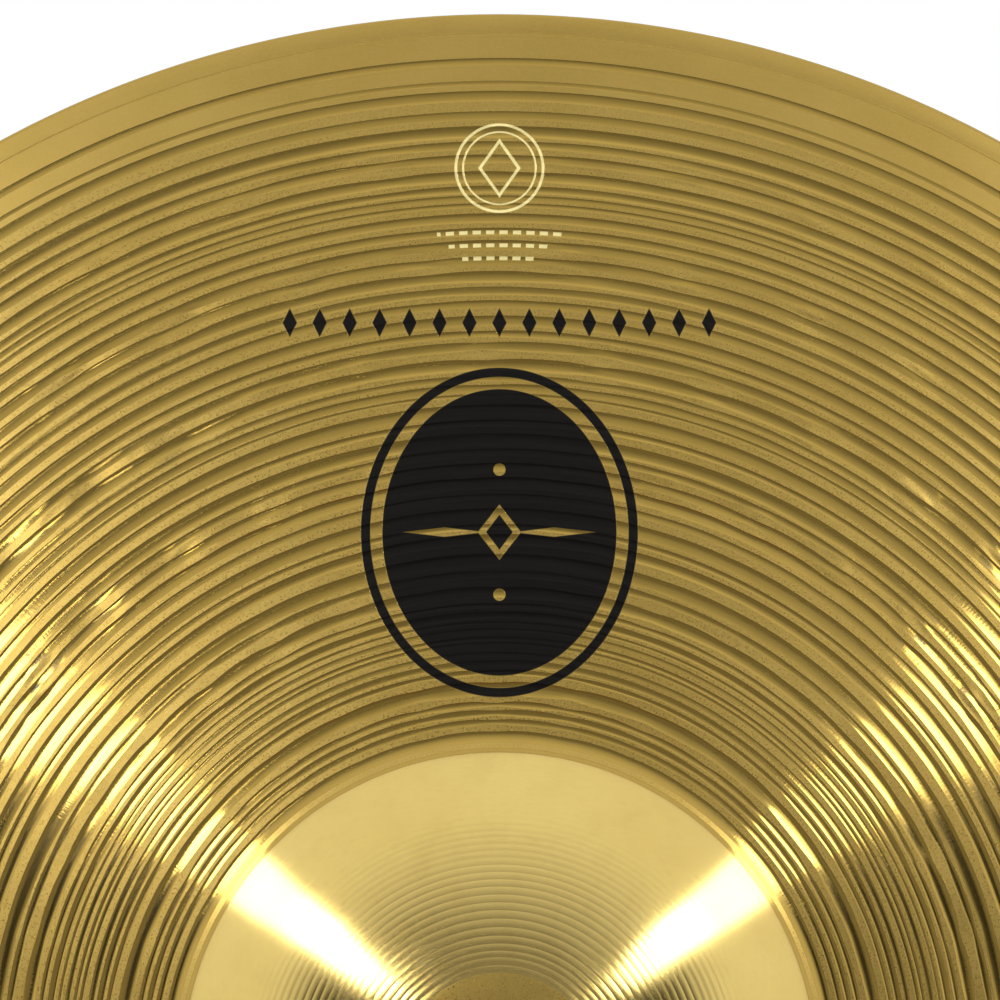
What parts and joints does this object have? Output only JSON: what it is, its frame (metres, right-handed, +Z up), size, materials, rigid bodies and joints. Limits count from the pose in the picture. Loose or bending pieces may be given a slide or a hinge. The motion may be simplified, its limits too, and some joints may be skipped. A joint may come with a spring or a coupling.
{
  "type": "hand cymbals",
  "caption": "Matched round brass hand cymbals, hand-lathed with a domed bell, each held by a leather hand loop knotted through its centre hole.",
  "frame": {"origin": "on the common axis of the two plates, half way between their mouths at rest", "axes": "+Z up with both plates standing on edge in playing position; +Y along the common axis from cymbal A to cymbal B, each bell facing outwards; +X completes the frame"},
  "size_m": [0.3556, 0.2818, 0.3556],
  "materials": {
    "brass_plate": "hand-lathed satin brass, smooth rim band",
    "strap_leather": "dark brown bridle leather, waxed, worn at the edges",
    "washer_leather": "natural tan leather, matte"
  },
  "bodies": {
    "cymbal_a": {"cymbal_plate_a": "brass_plate"},
    "cymbal_b": {"cymbal_plate_b": "brass_plate"},
    "knot_a": {"strap_throat_a": "strap_leather", "knot_washer_a": "washer_leather", "strap_thong_a1": "strap_leather", "strap_thong_a2": "strap_leather", "strap_thong_a3": "strap_leather", "strap_thong_a4": "strap_leather"},
    "loop_a": {"strap_band_a": "strap_leather"},
    "knot_b": {"strap_throat_b": "strap_leather", "knot_washer_b": "washer_leather", "strap_thong_b1": "strap_leather", "strap_thong_b2": "strap_leather", "strap_thong_b3": "strap_leather", "strap_thong_b4": "strap_leather"},
    "loop_b": {"strap_band_b": "strap_leather"}
  },
  "joints": [
    {"name": "pair_slide", "type": "slide", "parent": "cymbal_a", "child": "cymbal_b", "axis": [0, 1, 0], "range_m": [-0.059, 0.5]},
    {"name": "strap_a_swivel", "type": "hinge", "parent": "cymbal_a", "child": "knot_a", "pos_m": [0, -0.0684, 0], "axis": [0, 1, 0], "continuous": true},
    {"name": "strap_a_flop", "type": "hinge", "parent": "knot_a", "child": "loop_a", "pos_m": [0, -0.0734, 0], "axis": [1, 0, 0], "range_deg": [-133, 13]},
    {"name": "strap_b_swivel", "type": "hinge", "parent": "cymbal_b", "child": "knot_b", "pos_m": [0, 0.0684, 0], "axis": [0, 1, 0], "continuous": true},
    {"name": "strap_b_flop", "type": "hinge", "parent": "knot_b", "child": "loop_b", "pos_m": [0, 0.0734, 0], "axis": [-1, 0, 0], "range_deg": [-133, 13]}
  ]
}
